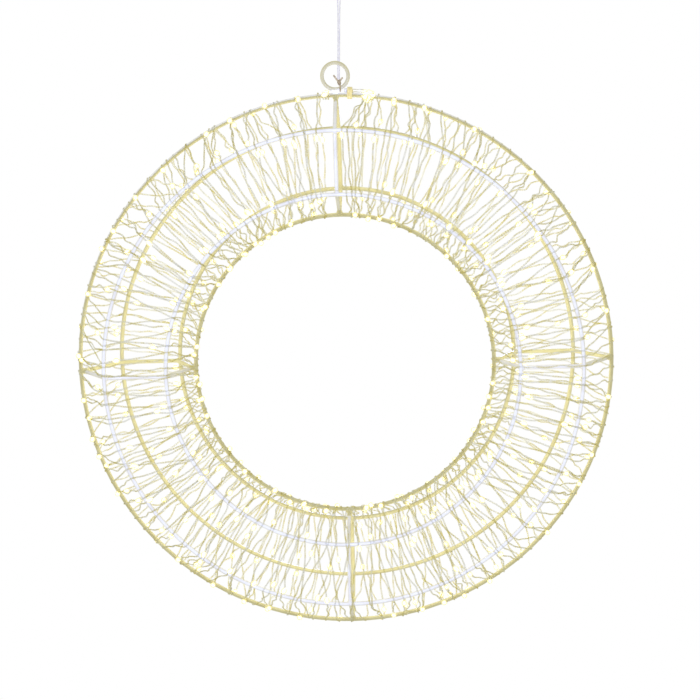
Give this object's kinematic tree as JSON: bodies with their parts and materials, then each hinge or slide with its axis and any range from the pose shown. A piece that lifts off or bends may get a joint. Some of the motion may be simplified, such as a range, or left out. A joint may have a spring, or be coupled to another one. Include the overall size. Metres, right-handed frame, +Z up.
{
  "type": "wreath frame",
  "caption": "Round wire wreath frame with a hexagonal cage of welded hoops and ribs, wound with a string of lit droplet lamps and hung by a line from a ring at the top",
  "frame": {"origin": "the middle of the hole of the hanging eye", "axes": "+Z up, Y along the wreath's axis with the front facing -Y, +X to the right seen from the front"},
  "size_m": [0.4038, 0.0886, 0.4907],
  "materials": {
    "frame_coating": "smooth white powder coating on steel wire",
    "lacquered_wire": "fine silvery lacquered copper conductors, loosely twisted",
    "lamp_resin": "clear resin droplet over a warm white light chip, shown lit",
    "lead_pvc": "white moulded sleeve",
    "tie_nylon": "buff nylon",
    "line_nylon": "pale translucent nylon cord",
    "knot_nylon": "tightly drawn cord, darkened"
  },
  "bodies": {
    "wreath": {"back_inner_hoop": "frame_coating", "back_outer_hoop": "frame_coating", "cable_tie": "tie_nylon", "eye_weld": "frame_coating", "front_inner_hoop": "frame_coating", "front_outer_hoop": "frame_coating", "hanging_eye": "frame_coating", "inner_hoop": "frame_coating", "lamps_over_1": "lamp_resin", "lamps_over_2": "lamp_resin", "lamps_over_3": "lamp_resin", "lamps_over_4": "lamp_resin", "lamps_under_1": "lamp_resin", "lamps_under_2": "lamp_resin", "lamps_under_3": "lamp_resin", "lamps_under_4": "lamp_resin", "lead_sleeve": "lead_pvc", "lead_wires": "lacquered_wire", "light_wire_over_1": "lacquered_wire", "light_wire_over_2": "lacquered_wire", "light_wire_over_3": "lacquered_wire", "light_wire_over_4": "lacquered_wire", "light_wire_under_1": "lacquered_wire", "light_wire_under_2": "lacquered_wire", "light_wire_under_3": "lacquered_wire", "light_wire_under_4": "lacquered_wire", "outer_hoop": "frame_coating", "rib_bottom": "frame_coating", "rib_left": "frame_coating", "rib_right": "frame_coating", "rib_top": "frame_coating", "rib_welds_bottom": "frame_coating", "rib_welds_left": "frame_coating", "rib_welds_right": "frame_coating", "rib_welds_top": "frame_coating", "start_coil": "lacquered_wire", "turn_coil": "lacquered_wire"},
    "hanging_line": {"hanging_line": "line_nylon", "line_knot": "knot_nylon"}
  },
  "joints": [
    {"name": "hanging_line_swing", "type": "hinge", "parent": "wreath", "child": "hanging_line", "pos_m": [0.00345, 0, -0.00885], "axis": [-1, 0, 0], "range_deg": [0, 100]}
  ]
}
